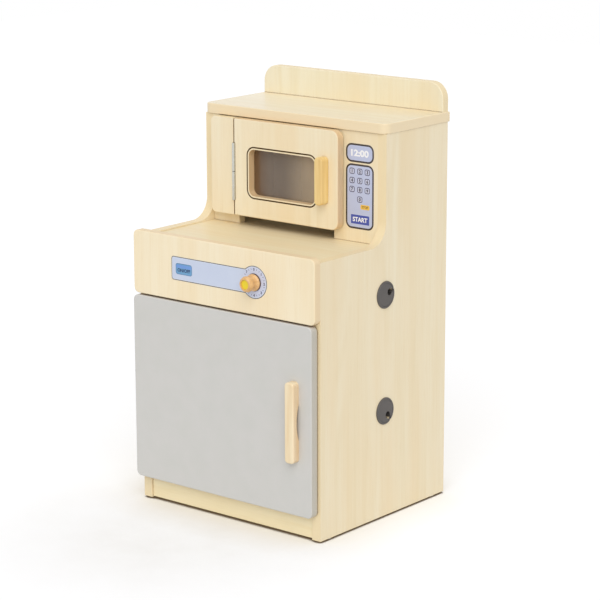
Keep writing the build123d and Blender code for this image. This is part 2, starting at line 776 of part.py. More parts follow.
def make_dowels():
    parts["cabinet_dowels"] = []
    post_y = step_depth + face_board / 2
    edge_x = inner_x + side_board / 2
    for side, side_name in ((-1, "side_panel_left"), (1, "side_panel_right")):
        for board, z in (("bottom_board", floor_top), ("worktop", worktop_top)):
            for y in (dowel_inset, back_front_y - dowel_inset):
                peg(board, side_name, (side * inner_x, y, z - side_board / 2), (1, 0, 0))
        toe_z = (side_bottom + toe_lift + floor_under) / 2
        peg("toe_board", side_name, (side * inner_x, toe_setback + face_board / 2, toe_z), (1, 0, 0))
        for y in (step_depth + dowel_inset, back_front_y - dowel_inset / 2):
            peg("top_board", side_name, (side * edge_x, y, top_under), (0, 0, 1))
        for z in (fascia_bottom + fascia_dowel_inset, worktop_under - fascia_dowel_inset):
            peg("fascia_board", side_name, (side * edge_x, 0, z), (0, 1, 0))
        splash_y = cabinet_depth - face_board / 2
        peg("top_board", "splash_board", (side * (edge_x - dowel_inset), splash_y, top_top), (0, 0, 1))
    for name, x in (("left_post", (post_right - inner_x) / 2), ("control_board", (control_left + inner_x) / 2)):
        peg("worktop", name, (x, post_y, worktop_top), (0, 0, 1))
        peg("top_board", name, (x, post_y, top_under), (0, 0, 1))


def make_board_screws():
    """The screws that hold the back panel, and those that hold the hinge strip."""
    parts["back_panel_screws"] = []
    for board, z in (("bottom_board", floor_top), ("worktop", worktop_top)):
        for x in (-inner_x + dowel_inset, 0, inner_x - dowel_inset):
            start = (x, back_front_y + back_thickness, z - side_board / 2)
            length = back_thickness + face_board
            parts["back_panel_screws"].append(pan_screw(start, (0, -1, 0), length))
            cut((board, "back_panel"), pan_hole(start, (0, -1, 0), length))
    parts["hinge_strip_screws"] = []
    x = (strip_left + post_right) / 2
    for z in (oven_bottom + strip_screw_inset, oven_top - strip_screw_inset):
        start = (x, step_depth + face_board, z)
        length = face_board + strip_screw_bite
        parts["hinge_strip_screws"].append(pan_screw(start, (0, -1, 0), length))
        cut(("left_post", "hinge_strip"), pan_hole(start, (0, -1, 0), length))


def make_shelf_pins():
    parts["shelf_pins"] = []
    z = shelf_under - shelf_pin_radius
    for side, side_name in ((-1, "side_panel_left"), (1, "side_panel_right")):
        for y in (shelf_setback + shelf_pin_inset, back_front_y - shelf_pin_inset):
            start = (side * (inner_x - shelf_pin_reach), y, z)
            outwards = (side, 0, 0)
            parts["shelf_pins"].append(rod(start, outwards, 2 * shelf_pin_reach, shelf_pin_radius))
            wide = shelf_pin_radius + dowel_clearance
            cut((side_name,), rod(start, outwards, 2 * shelf_pin_reach + dowel_clearance, wide))


def make_glides():
    parts["floor_glides"] = []
    for side, side_name in ((-1, "side_panel_left"), (1, "side_panel_right")):
        for y in (glide_inset, cabinet_depth - glide_inset):
            foot = (side * (inner_x + side_board / 2), y, 0)
            disc = rod(foot, (0, 0, 1), floor_gap, glide_radius)
            disc = chamfer((disc.edges() | GeomType.CIRCLE).group_by(Axis.Z)[0], fine_edge_round)
            stem = floor_gap + glide_stem_length
            parts["floor_glides"].append(disc + rod(foot, (0, 0, 1), stem, glide_stem_radius))
            wide = glide_stem_radius + dowel_clearance
            cut((side_name,), rod(foot, (0, 0, 1), stem + dowel_clearance, wide))


make_carcass()
make_top()
make_fascia()
make_oven_front()
make_cupboard_door()
make_oven_door()
make_handles()
make_oven_hinge()
make_cupboard_hinges()
make_catches()
make_bumpers()
make_labels()
make_dial()
make_grommets()
make_dowels()
make_board_screws()
make_shelf_pins()
make_glides()

# The outermost points of the whole thing, which the origin lies between
leftmost = door_left - knuckle_clearance - 2 * cupboard_knuckle_radius
rightmost = half_width + max(top_side_overhang, grommet_flange_thickness)
foremost = -face_board - label_thickness - turning_gap - dial_length
rearmost = cabinet_depth + top_back_overhang
place = Pos(-(leftmost + rightmost) / 2, -(foremost + rearmost) / 2, 0)

os.makedirs("parts", exist_ok=True)
for name, piece in parts.items():
    pieces = piece if isinstance(piece, list) else [piece]
    solids = [solid for one in pieces for solid in (place * one).solids()]
    export_step(Compound(children=solids), f"parts/{name}.step")
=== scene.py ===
import json
import math

import bmesh
import bpy
import numpy as np
from mathutils import Matrix, Vector

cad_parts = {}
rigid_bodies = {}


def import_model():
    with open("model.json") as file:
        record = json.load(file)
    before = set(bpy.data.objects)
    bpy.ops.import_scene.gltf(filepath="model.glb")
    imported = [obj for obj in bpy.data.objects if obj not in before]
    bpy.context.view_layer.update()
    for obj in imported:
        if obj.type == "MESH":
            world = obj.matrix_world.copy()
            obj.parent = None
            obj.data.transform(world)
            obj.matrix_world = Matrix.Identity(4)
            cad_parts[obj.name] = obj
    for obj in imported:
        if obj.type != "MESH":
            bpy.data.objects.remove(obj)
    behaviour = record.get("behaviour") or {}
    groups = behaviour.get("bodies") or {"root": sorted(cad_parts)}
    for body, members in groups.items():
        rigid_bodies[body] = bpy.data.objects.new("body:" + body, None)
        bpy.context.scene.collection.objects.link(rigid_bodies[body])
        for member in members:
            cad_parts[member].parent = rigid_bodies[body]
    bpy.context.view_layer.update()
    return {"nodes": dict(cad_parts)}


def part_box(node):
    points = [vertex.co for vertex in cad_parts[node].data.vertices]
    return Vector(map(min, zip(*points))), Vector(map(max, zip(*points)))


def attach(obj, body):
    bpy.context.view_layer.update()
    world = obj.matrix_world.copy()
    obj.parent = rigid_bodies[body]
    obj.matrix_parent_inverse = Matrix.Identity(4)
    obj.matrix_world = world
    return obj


# A wooden play kitchen, dressed around its packed boards and fittings.
# Metres, Z up, the doors look to -Y.

for old in list(bpy.data.objects):
    bpy.data.objects.remove(old)
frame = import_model()
parts = frame["nodes"]
mm = 0.001
across, deep, up = 0, 1, 2  # the axes, by number
print("play kitchen: frame loaded,", len(parts), "parts")


# Nodes

white = (1.0, 1.0, 1.0, 1.0)
noiseSpan = (0.3, 0.7)  # where nearly all values of a noise lie
noiseMiddle = (0.5, 0.5, 0.5)
glossSpan = (-0.05, 0.07)  # how much glossier and duller a surface gets than its roughness
sideShadeRange = (0.6, 0.95)  # how squarely a face looks sideways where its painted side shade starts and is full
cornerShadeRange = (0.5, 0.75)  # the free share of a ball where painted shade in a seam or corner is full and where it has faded out
cornerSamples = 8


def screen(red, green, blue):
    # a colour as a screen shows it, 0 to 255, as the linear one that a shader takes:
    # a share of 255 is divided by 12.92 where it is tiny, else shifted, scaled and raised to the power 2.4
    value = np.array([red, green, blue]) / 255
    linear = np.where(value <= 0.04045, value / 12.92, ((value + 0.055) / 1.055) ** 2.4)
    return (*linear.tolist(), 1.0)


def newFinish(name, colour, roughness, **extra):
    # one shader with its colour, its roughness and any other sockets set
    finish = bpy.data.materials.new(name)
    finish.use_nodes = True
    shader = finish.node_tree.nodes["Principled BSDF"]
    shader.inputs["Base Color"].default_value = colour
    shader.inputs["Roughness"].default_value = roughness
    for socket, value in extra.items():
        shader.inputs[socket.replace("_", " ")].default_value = value
    return finish


def addNode(finish, kind, inputs=(), **settings):
    # inputs holds pairs of a socket and either a value or the output that feeds it
    tree = finish.node_tree
    node = tree.nodes.new("ShaderNode" + kind)
    for key, value in settings.items():
        setattr(node, key, value)
    for socket, value in inputs:
        if isinstance(value, bpy.types.NodeSocket):
            tree.links.new(value, node.inputs[socket])
        else:
            node.inputs[socket].default_value = value
    return node


def feed(finish, socket, output):
    # an output joined to a socket of the shader
    shader = finish.node_tree.nodes["Principled BSDF"]
    finish.node_tree.links.new(output, shader.inputs[socket])


def calc(finish, operation, *values):
    # one sum on one or two values
    return addNode(finish, "Math", enumerate(values), operation=operation).outputs[0]


def noise(finish, place, scale, detail=2.0, roughness=0.5):
    # a smooth noise from 0 to 1, with about as many bumps to the metre as its scale says
    inputs = [("Vector", place), ("Scale", scale), ("Detail", detail), ("Roughness", roughness)]
    return addNode(finish, "TexNoise", inputs).outputs["Fac"]


def remap(finish, value, low, high, toLow=0.0, toHigh=1.0):
    # low to high becomes toLow to toHigh in a straight line, and stays there beyond both ends
    inputs = [("Value", value), ("From Min", low), ("From Max", high), ("To Min", toLow), ("To Max", toHigh)]
    return addNode(finish, "MapRange", inputs).outputs["Result"]


def mixColour(finish, amount, first, second, blend="MIX"):
    # for a plain mix: the first times what the amount leaves of 1, plus the second times the amount.
    # The colour sockets of a Mix node share their names with the other kinds, so they are found by number.
    node = addNode(finish, "Mix", data_type="RGBA", blend_type=blend)
    tree = finish.node_tree
    for socket, value in ((node.inputs[0], amount), (node.inputs[6], first), (node.inputs[7], second)):
        if isinstance(value, bpy.types.NodeSocket):
            tree.links.new(value, socket)
        else:
            socket.default_value = value
    return node.outputs[2]


def tinted(finish, colour, tint):
    # a colour times a tint, channel by channel
    return mixColour(finish, 1.0, colour, tint, "MULTIPLY")


def drawnOut(finish, place, axis, share, offset=(0.0, 0.0, 0.0)):
    # a place squeezed along one axis, so that a pattern on it comes out long along that axis
    stretch = [1.0, 1.0, 1.0]
    stretch[axis] = share
    inputs = [("Vector", place), ("Location", offset), ("Scale", stretch)]
    return addNode(finish, "Mapping", inputs).outputs["Vector"]


def facesAlong(finish, coords, axis):
    # how squarely a face looks along an axis, either way, from 0 to 1
    normal = addNode(finish, "SeparateXYZ", [(0, coords.outputs["Normal"])])
    return calc(finish, "ABSOLUTE", normal.outputs[axis])


def paintedSideShade(finish, coords, colour, tone):
    # painted shade: a colour times a tone on faces that look to either side
    sideways = remap(finish, facesAlong(finish, coords, across), *sideShadeRange)
    return mixColour(finish, sideways, colour, tinted(finish, colour, tone))


def shadeInCorners(finish, reach, between=cornerShadeRange):
    # painted shade: 1 deep in a seam or an inside corner and 0 in the open, by the free share of a ball round
    # a spot
    free = addNode(finish, "AmbientOcclusion", [("Distance", reach)], samples=cornerSamples).outputs["AO"]
    return remap(finish, free, *between, 1.0, 0.0)


def unevenGloss(finish, value, roughness, span=glossSpan):
    # a roughness that follows a noise, from a little glossier to a little duller than the given one
    feed(finish, "Roughness", remap(finish, value, *noiseSpan, roughness + span[0], roughness + span[1]))


def bump(finish, height, strength, distance):
    # the surface tilted by the slope of a height
    node = addNode(finish, "Bump", [("Height", height), ("Strength", strength), ("Distance", distance)])
    feed(finish, "Normal", node.outputs["Normal"])


# Foil on the boards

# a noise is given by its scale, its detail and its roughness,
# and a range by the values of the noise where a tone starts and where it is full
foilLook = {
    "light": screen(248, 235, 205),
    "middle": screen(246, 230, 196),
    "dark": screen(238, 219, 177),
    "blush": screen(244, 222, 181),
    "pore": screen(232, 208, 165),
    # painted shade in seams and inside corners: its tone and how far it reaches
    "seamShade": screen(128, 92, 56),
    "seamShadeReach": 4.0 * mm,
    "warp": 6.0 * mm,
    "warpScale": 5.0,
    "warpDetail": 1.0,
    "alongShare": 0.035,
    "bandNoise": (15.0,),
    "bandRange": (0.35, 0.65),
    "streakNoise": (130.0, 4.0, 0.6),
    "streakRange": (0.45, 0.7),
    "streakShare": 0.36,
    "poreNoise": (620.0,),
    "poreRange": (0.58, 0.74),
    "poreShare": 0.25,
    "poreBump": (0.12, 0.2 * mm),
    "flameNoise": (9.0, 1.0),
    "flameRings": 60.0,
    "flameAlong": 0.14,
    "flameRange": (-0.2, 1.0),
    "flameShare": 0.36,
    "patchNoise": (10.5,),  # where there are flames
    "patchRange": (0.45, 0.62),
    "blushNoise": (13.5,),
    "blushRange": (0.42, 0.66),
    "blushShare": 0.6,
    "edgeRange": (0.8, 0.5),  # how squarely a face looks along the thin axis
    "edgeStreaks": 0.5,
    "roughness": 0.45,
    "sheenRoughness": 0.25,
}
plainBoard = {
    "grain": up,
    "thin": deep,
    "edge": screen(243, 224, 182),
    "tint": white,
    "sheen": 0.15,
    # how much painted shade a board takes in its seams and corners
    "seamShadeShare": 0.8,
}
boards = {
    "side_panel_left": {"thin": across, "offset": (0.31, 0.72, 0.05), "seamShadeShare": 0.2},
    "side_panel_right": {"thin": across, "offset": (0.83, 0.17, 0.61), "seamShadeShare": 0.45},
    "left_post": {"offset": (0.22, 0.91, 0.37), "seamShadeShare": 0.3},
    "control_board": {"offset": (0.57, 0.33, 0.14), "seamShadeShare": 0.6},
    "hinge_strip": {"offset": (0.69, 0.48, 0.77)},
    "microwave_door_panel": {"offset": (0.11, 0.26, 0.53), "seamShadeShare": 0.4, "edge": screen(224, 191, 147)},
    "fascia_board": {"offset": (0.45, 0.64, 0.29), "seamShadeShare": 0.2, "edge": screen(239, 214, 174),
                     "tint": (1.05, 1.05, 1.06, 1.0)},
    "splash_board": {"offset": (0.93, 0.05, 0.41), "tint": (0.99, 1.04, 1.09, 1.0)},
    "back_panel": {"offset": (0.38, 0.87, 0.66)},
    "toe_board": {"grain": across, "offset": (0.74, 0.59, 0.23), "tint": (1.05, 1.03, 0.92, 1.0)},
    "worktop": {"grain": across, "thin": up, "offset": (0.19, 0.42, 0.88), "seamShadeShare": 0.1,
                "tint": (0.98, 0.975, 0.92, 1.0)},
    "top_board": {"grain": across, "thin": up, "offset": (0.52, 0.13, 0.35), "seamShadeShare": 0.5, "sheen": 0.5,
                  "edge": screen(244, 224, 186), "tint": (1.0, 1.02, 1.05, 1.0)},
    "bottom_board": {"grain": across, "thin": up, "offset": (0.66, 0.79, 0.02)},
    "cupboard_shelf": {"grain": across, "thin": up, "offset": (0.28, 0.95, 0.47)},
}


def boardFoil(name, board, look):
    # printed maple foil: broad bands, flames, streaks and short pores, all drawn out along the grain,
    # a plainer band round the board's edges, which don't look along its thin axis, and painted shade in seams
    # and inside corners.
    # A flame is the sine of a drawn-out noise, so its lines run into each other in pointed arches.
    finish = newFinish(name, look["middle"], look["roughness"],
                       Coat_Weight=board["sheen"], Coat_Roughness=look["sheenRoughness"])
    coords = addNode(finish, "TexCoord")
    straight = coords.outputs["Object"]
    drift = addNode(finish, "TexNoise", [("Vector", straight), ("Scale", look["warpScale"]),
                                         ("Detail", look["warpDetail"])])
    centred = addNode(finish, "VectorMath", [(0, drift.outputs["Color"]), (1, noiseMiddle)],
                      operation="SUBTRACT")
    small = addNode(finish, "VectorMath", [(0, centred.outputs[0]), ("Scale", look["warp"])],
                    operation="SCALE")
    bent = addNode(finish, "VectorMath", [(0, straight), (1, small.outputs[0])], operation="ADD")

    place = drawnOut(finish, bent.outputs[0], board["grain"], look["alongShare"], board["offset"])
    band = noise(finish, place, *look["bandNoise"])
    streak = noise(finish, place, *look["streakNoise"])
    pore = noise(finish, place, *look["poreNoise"])
    colour = mixColour(finish, remap(finish, band, *look["bandRange"]), look["middle"], look["light"])

    flamePlace = drawnOut(finish, place, board["grain"], look["flameAlong"] / look["alongShare"])
    flow = noise(finish, flamePlace, *look["flameNoise"])
    ripple = calc(finish, "SINE", calc(finish, "MULTIPLY", flow, look["flameRings"]))
    patch = noise(finish, flamePlace, *look["patchNoise"])
    patch = remap(finish, patch, *look["patchRange"], 0.0, look["flameShare"])
    flame = calc(finish, "MULTIPLY", remap(finish, ripple, *look["flameRange"]), patch)
    colour = mixColour(finish, flame, colour, look["dark"])
    amount = remap(finish, streak, *look["streakRange"], 0.0, look["streakShare"])
    colour = mixColour(finish, amount, colour, look["dark"])
    blush = noise(finish, flamePlace, *look["blushNoise"])
    amount = remap(finish, blush, *look["blushRange"], 0.0, look["blushShare"])
    colour = mixColour(finish, amount, colour, look["blush"])
    amount = remap(finish, pore, *look["poreRange"], 0.0, look["poreShare"])
    colour = mixColour(finish, amount, colour, look["pore"])
    colour = tinted(finish, colour, board["tint"])

    amount = remap(finish, streak, *noiseSpan, 0.0, look["edgeStreaks"])
    edgeTone = mixColour(finish, amount, board["edge"], look["blush"])
    edge = remap(finish, facesAlong(finish, coords, board["thin"]), *look["edgeRange"])
    colour = mixColour(finish, edge, colour, edgeTone)
    # painted shade in seams and inside corners
    seamShade = calc(finish, "MULTIPLY", shadeInCorners(finish, look["seamShadeReach"]), board["seamShadeShare"])
    feed(finish, "Base Color", mixColour(finish, seamShade, colour, look["seamShade"]))
    unevenGloss(finish, streak, look["roughness"])
    bump(finish, pore, *look["poreBump"])
    return finish


for part, board in boards.items():
    parts[part].data.materials[0] = boardFoil(part + "_foil", plainBoard | board, foilLook)
print("  foil on", len(boards), "boards")


# Solid wood, paint, plastics and metal

honeyLook = {
    "light": screen(245, 216, 148),
    "dark": screen(230, 190, 116),
    "offset": (0.4, 0.1, 0.7),
    "grain": up,
    "ringScale": 90.0,
    "sideShade": white,
}
paleLook = {
    "light": screen(249, 230, 193),
    "dark": screen(238, 210, 165),
    "offset": (0.9, 0.3, 0.2),
    "grain": up,
    "ringScale": 90.0,
    # painted shade on the handle's side faces
    "sideShade": (0.93, 0.87, 0.83, 1.0),
}
turnedLook = {
    "light": screen(237, 191, 130),
    "dark": screen(216, 166, 104),
    "offset": (0.2, 0.6, 0.1),
    "grain": deep,
    "ringScale": 160.0,
    "sideShade": white,
}
lacquerLook = {
    "alongShare": 0.07,
    "ringDetail": (3.0, 0.55),
    "ringRange": (0.35, 0.7),
    "poreTimes": 9.0,  # pores to one ring
    "poreRange": (0.58, 0.75),
    "poreShare": 0.35,
    "poreBump": (0.15, 0.2 * mm),
    "roughness": 0.38,
    "coat": 0.3,
    "coatRoughness": 0.2,
}


def solidWood(name, wood, look):
    # lacquered solid wood: fine rings drawn out along the grain, with pores, and painted shade on side faces
    finish = newFinish(name, wood["light"], look["roughness"],
                       Coat_Weight=look["coat"], Coat_Roughness=look["coatRoughness"])
    coords = addNode(finish, "TexCoord")
    place = drawnOut(finish, coords.outputs["Object"], wood["grain"], look["alongShare"], wood["offset"])
    ring = noise(finish, place, wood["ringScale"], *look["ringDetail"])
    pore = noise(finish, place, wood["ringScale"] * look["poreTimes"])
    colour = mixColour(finish, remap(finish, ring, *look["ringRange"]), wood["light"], wood["dark"])
    amount = remap(finish, pore, *look["poreRange"], 0.0, look["poreShare"])
    colour = mixColour(finish, amount, colour, wood["dark"])
    feed(finish, "Base Color", paintedSideShade(finish, coords, colour, wood["sideShade"]))
    unevenGloss(finish, ring, look["roughness"])
    bump(finish, pore, *look["poreBump"])
    return finish


skinLook = {
    "cloudNoise": (28.0, 3.0),
    "cloudRange": (0.35, 0.7),
    "bumpDepth": 0.1 * mm,
}


def cloudAndSkin(finish, place, colour, shade, roughness, skinScale, strength, look=skinLook):
    # a colour with a faint cloudy shade, and a fine skin in the gloss and the bumps
    cloud = noise(finish, place, *look["cloudNoise"])
    skin = noise(finish, place, skinScale)
    unevenGloss(finish, skin, roughness)
    bump(finish, skin, strength, look["bumpDepth"])
    return mixColour(finish, remap(finish, cloud, *look["cloudRange"]), colour, shade)


def plainFinish(name, colour, shade, roughness, skinScale, strength=0.1, **extra):
    # paint, print or moulded plastic, with nothing but the clouds and the skin
    finish = newFinish(name, colour, roughness, **extra)
    place = addNode(finish, "TexCoord").outputs["Object"]
    feed(finish, "Base Color", cloudAndSkin(finish, place, colour, shade, roughness, skinScale, strength))
    return finish


doorLook = {
    "paint": screen(212, 210, 206),
    "cloud": screen(209, 208, 203),
    "roughness": 0.42,
    "skinScale": 1400.0,
    "skinBump": 0.1,
    # painted shade on the door's side faces
    "side": (0.86, 0.83, 0.76, 1.0),
    "shadow": screen(150, 116, 78),
    "shadowReach": 20.0 * mm,
    "shadowRange": (0.15, 0.6),
    "shadowShare": 0.5,
}


def doorPaint(look):
    # satin paint with painted shade: a deeper tone on the door's side faces, and brown where something stands
    # close to it
    finish = newFinish("grey_door_paint", look["paint"], look["roughness"])
    coords = addNode(finish, "TexCoord")
    colour = cloudAndSkin(finish, coords.outputs["Object"], look["paint"], look["cloud"], look["roughness"],
                          look["skinScale"], look["skinBump"])
    # painted shade on the side faces and where something stands close
    colour = paintedSideShade(finish, coords, colour, look["side"])
    near = shadeInCorners(finish, look["shadowReach"], look["shadowRange"])
    near = calc(finish, "MULTIPLY", near, look["shadowShare"])
    feed(finish, "Base Color", mixColour(finish, near, colour, look["shadow"]))
    return finish


zincLook = {
    "plate": screen(202, 203, 196),
    "roughness": 0.34,
    "glossSpan": (-0.08, 0.12),
    "alongShare": 0.04,
    "lineNoise": (2200.0,),
    "lineBump": (0.1, 0.1 * mm),
    "cloudNoise": (160.0, 3.0),
}


def zincPlate(look):
    # zinc plating: fine upright lines in its bumps and cloudy patches in its gloss
    finish = newFinish("zinc_plate", look["plate"], look["roughness"], Metallic=1.0)
    place = addNode(finish, "TexCoord").outputs["Object"]
    drawn = noise(finish, drawnOut(finish, place, up, look["alongShare"]), *look["lineNoise"])
    cloud = noise(finish, place, *look["cloudNoise"])
    unevenGloss(finish, cloud, look["roughness"], look["glossSpan"])
    bump(finish, drawn, *look["lineBump"])
    return finish


smokeLook = {
    "brown": screen(132, 98, 66),  # painted shade, by the hinge
    "deep": screen(139, 126, 115),
    "paintedReflection": screen(214, 194, 164),  # painted reflection, by the handle
    "brownRange": (-85.0 * mm, -50.0 * mm),
    "paintedReflectionRange": (-15.0 * mm, 60.0 * mm),
    "cloudNoise": (18.0,),
    "cloudShare": (0.8, 1.0),
    "alpha": 0.5,
    "roughness": 0.14,
}


def smokedPane(look):
    # smoked plastic with painted shade, brown by the hinge, and a painted reflection, paler by the handle,
    # with a trace of cloud
    finish = newFinish("smoked_pane_plastic", look["deep"], look["roughness"], Alpha=look["alpha"])
    place = addNode(finish, "TexCoord").outputs["Object"]
    along = addNode(finish, "SeparateXYZ", [(0, place)]).outputs[across]
    colour = mixColour(finish, remap(finish, along, *look["brownRange"]), look["brown"], look["deep"])
    cloud = remap(finish, noise(finish, place, *look["cloudNoise"]), *noiseSpan, *look["cloudShare"])
    # the painted reflection grows towards the handle
    share = calc(finish, "MULTIPLY", remap(finish, along, *look["paintedReflectionRange"]), cloud)
    feed(finish, "Base Color", mixColour(finish, share, colour, look["paintedReflection"]))
    return finish


plainLooks = {
    # colour, its cloudy shade, roughness, fineness of the skin and strength of its bumps
    "yellow_disc": (screen(244, 219, 44), screen(238, 211, 40), 0.35, 1200.0, 0.1),
    "strip_film": (screen(204, 213, 234), screen(208, 217, 236), 0.35, 1500.0, 0.04),
    "key_film": (screen(193, 200, 228), screen(196, 203, 230), 0.35, 1500.0, 0.04),
    "grommet_plastic": (screen(92, 87, 84), screen(86, 82, 79), 0.5, 2600.0, 0.25),
    "white_moulding": (screen(226, 224, 218), screen(220, 218, 211), 0.45, 1500.0, 0.1),
    "clear_rubber_pad": (screen(222, 221, 214), screen(214, 213, 206), 0.6, 900.0, 0.1),
    "magnet_iron_block": (screen(70, 70, 72), screen(60, 60, 62), 0.55, 1500.0, 0.1),
    "dark_washer_nylon": (screen(44, 42, 38), screen(38, 36, 33), 0.5, 1500.0, 0.1),
}
plain = {name: plainFinish(name, *values) for name, values in plainLooks.items()}
finishes = {
    "grey_board": doorPaint(doorLook),
    "pale_wood": solidWood("pale_wood_lacquered", paleLook, lacquerLook),
    "honey_wood": solidWood("honey_wood_lacquered", honeyLook, lacquerLook),
    "tan_wood": solidWood("turned_wood_lacquered", turnedLook, lacquerLook),
    "yellow_plastic": plain["yellow_disc"],
    "printed_label": plain["strip_film"],
    "grey_plastic": plain["grommet_plastic"],
    "white_plastic": plain["white_moulding"],
    "smoked_pane": smokedPane(smokeLook),
    "steel": zincPlate(zincLook),
    "magnet_iron": plain["magnet_iron_block"],
    "clear_rubber": plain["clear_rubber_pad"],
}
ownFinishes = {
    "clock_label": plain["key_film"],
    "keypad_label": plain["key_film"],
    "microwave_hinge_washer": plain["dark_washer_nylon"],
    "cupboard_hinge_washers": plain["dark_washer_nylon"],
}
for part, thing in parts.items():
    if part in boards:
        continue
    stock = thing.data.materials[0].name.split(".")[0]
    thing.data.materials[0] = ownFinishes.get(part, finishes[stock])
print("  finishes on the other", len(parts) - len(boards), "parts")


# Surfaces worked out on grids

sameSpot = 0.001 * mm  # points closer than this are one
letterSteps = 4  # for each curve in a letter


def makePiece(name, points, faces, finish, slot, body):
    # closed shells from points and faces, with doubles merged and every face turned outwards
    mesh = bpy.data.meshes.new(name)
    mesh.from_pydata(points.tolist(), [], faces)
    shell = bmesh.new()
    shell.from_mesh(mesh)
    bmesh.ops.remove_doubles(shell, verts=shell.verts, dist=sameSpot)
    bmesh.ops.recalc_face_normals(shell, faces=shell.faces)
    shell.to_mesh(mesh)
    shell.free()
    mesh.materials.append(finish)
    piece = bpy.data.objects.new(name, mesh)
    bpy.context.scene.collection.objects.link(piece)
    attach(piece, body)


def roundedPath(width, height, radius, steps=9):
    # points on a rectangle with round corners, anticlockwise from the front, and the way out at each:
    # a corner's centre plus its radius times (cos a, sin a), with a through a quarter turn at each corner
    turn = np.linspace(0, math.pi / 2, steps)
    angle = (turn[None, :] + np.arange(4)[:, None] * math.pi / 2).ravel()
    side = np.repeat(np.array([[1, 1], [-1, 1], [-1, -1], [1, -1]]), steps, axis=0)
    out = np.stack([np.cos(angle), np.sin(angle)], axis=1)
    corner = side * np.array([width / 2 - radius, height / 2 - radius])
    return corner + radius * out, out


def carryRound(path, out, middle, rows):
    # a profile carried along a closed path: point (i, j) is path[j] + out[j] * offset[i], at depth[i]
    rows = np.array(rows)
    flat = path[None] + out[None] * rows[:, 0, None, None]
    depth = np.broadcast_to(rows[:, 1, None], flat.shape[:2])
    return np.stack([flat[..., 0] + middle[0], depth, flat[..., 1] + middle[1]], axis=-1)


def gridFaces(rowCount, columnCount, closeRows):
    # quads between neighbouring rows: corner (row, column) has the number row * columnCount + column,
    # and the columns always close into a ring
    rowSpan = np.arange(rowCount - (0 if closeRows else 1))
    row, column = np.meshgrid(rowSpan, np.arange(columnCount), indexing="ij")
    nextRow, nextColumn = (row + 1) % rowCount, (column + 1) % columnCount
    quad = np.stack([row * columnCount + column, row * columnCount + nextColumn,
                     nextRow * columnCount + nextColumn, nextRow * columnCount + column], axis=-1)
    return quad.reshape(-1, 4).tolist()


def bandMesh(path, out, middle, width, back, front):
    # a flat band just inside a closed path: an oblong profile, as deep as front to back, carried round it
    rows = [(0, back), (0, front), (-width, front), (-width, back)]
    grid = carryRound(path, out, middle, rows)
    return grid.reshape(-1, 3), gridFaces(len(rows), len(path), True)


def plateMesh(path, out, middle, back, front, bevel):
    # a flat plate inside a closed path: its side and an eased front rim carried round, and two flat faces
    rows = [(0, back), (0, front + bevel), (-bevel, front)]
    grid = carryRound(path, out, middle, rows)
    count = len(path)
    faces = gridFaces(len(rows), count, False)
    faces.append(list(range(count))[::-1])
    faces.append(list(range(2 * count, 3 * count)))
    return grid.reshape(-1, 3), faces


def ringMesh(middle, inner, outer, back, front, steps=96):
    # a flat ring: a band inside the circle outer * (cos a, sin a), with a once round
    angle = np.linspace(0, 2 * math.pi, steps, endpoint=False)
    out = np.stack([np.cos(angle), np.sin(angle)], axis=1)
    return bandMesh(out * outer, out, middle, outer - inner, back, front)


def together(meshes):
    # several meshes as one: the points in a row, each mesh's face numbers raised by the points before it
    points, faces, start = [], [], 0
    for some, around in meshes:
        points.append(some)
        faces += [[corner + start for corner in face] for face in around]
        start += len(some)
    return np.concatenate(points), faces


def wordMesh(words, height, middle, back, front, weight, stretch=1.0):
    # letters made a mesh first, then stood upright, scaled to their height and moved to their middle:
    # the letters' own y becomes z, and their own z becomes the depth from back to front
    curve = bpy.data.curves.new("letters", "FONT")
    curve.body = words
    curve.offset = weight
    curve.extrude = 0.5  # half a unit either way, so they are 1 deep
    curve.resolution_u = letterSteps
    maker = bpy.data.objects.new("letters", curve)
    bpy.context.scene.collection.objects.link(maker)
    mesh = bpy.data.meshes.new_from_object(maker)
    flat = np.zeros(len(mesh.vertices) * 3)
    mesh.vertices.foreach_get("co", flat)
    flat = flat.reshape(-1, 3)
    faces = [list(face.vertices) for face in mesh.polygons]
    bpy.data.objects.remove(maker)
    bpy.data.curves.remove(curve)
    bpy.data.meshes.remove(mesh)
    low, high = flat.min(axis=0), flat.max(axis=0)
    scale = height / (high[1] - low[1])
    centre = (low + high) / 2
    along = (flat[:, 0] - centre[0]) * scale * stretch + middle[0]
    above = (flat[:, 1] - centre[1]) * scale + middle[1]
    depth = (back + front) / 2 - flat[:, 2] * (back - front)
    return np.stack([along, depth, above], axis=1), faces


# Print

inks = {
    "outline_ink": (60, 50, 46),
    "white_ink": (252, 252, 254),
    "key_ink": (208, 211, 233),
    "line_ink": (74, 70, 104),
    "digit_ink": (30, 26, 50),
    "stop_ink": (240, 196, 84),
    "stop_word_ink": (150, 104, 40),
    "start_ink": (72, 86, 174),
    "thin_line_ink": (72, 78, 88),
    "light_ink": (219, 225, 240),
    "ring_ink": (211, 217, 238),
    "knob_shade_ink": (104, 86, 92),
    "number_ink": (46, 44, 78),
    "switch_ink": (112, 166, 208),
    "switch_line_ink": (84, 128, 172),
    "switch_band_ink": (116, 160, 226),
    "switch_word_ink": (42, 70, 112),
}
inkLook = {
    "depth": 0.05 * mm,  # the print stands this far out of the film, and as far in
    "higher": 2.0,  # layers out of the film, for print on print
    "bevel": 0.025 * mm,
    "shade": 0.97,
    "roughness": 0.38,
    "skinScale": 1500.0,
    "skinBump": 0.03,
}


def makePrint(name, mesh, ink, look=inkLook):
    # a printed piece on the cabinet, in an ink that is mixed once
    if ink not in bpy.data.materials:
        colour = screen(*inks[ink])
        shade = screen(*(value * look["shade"] for value in inks[ink]))
        plainFinish(ink, colour, shade, look["roughness"], look["skinScale"], look["skinBump"])
    makePiece(name, *mesh, bpy.data.materials[ink], "printed_label", "cabinet")


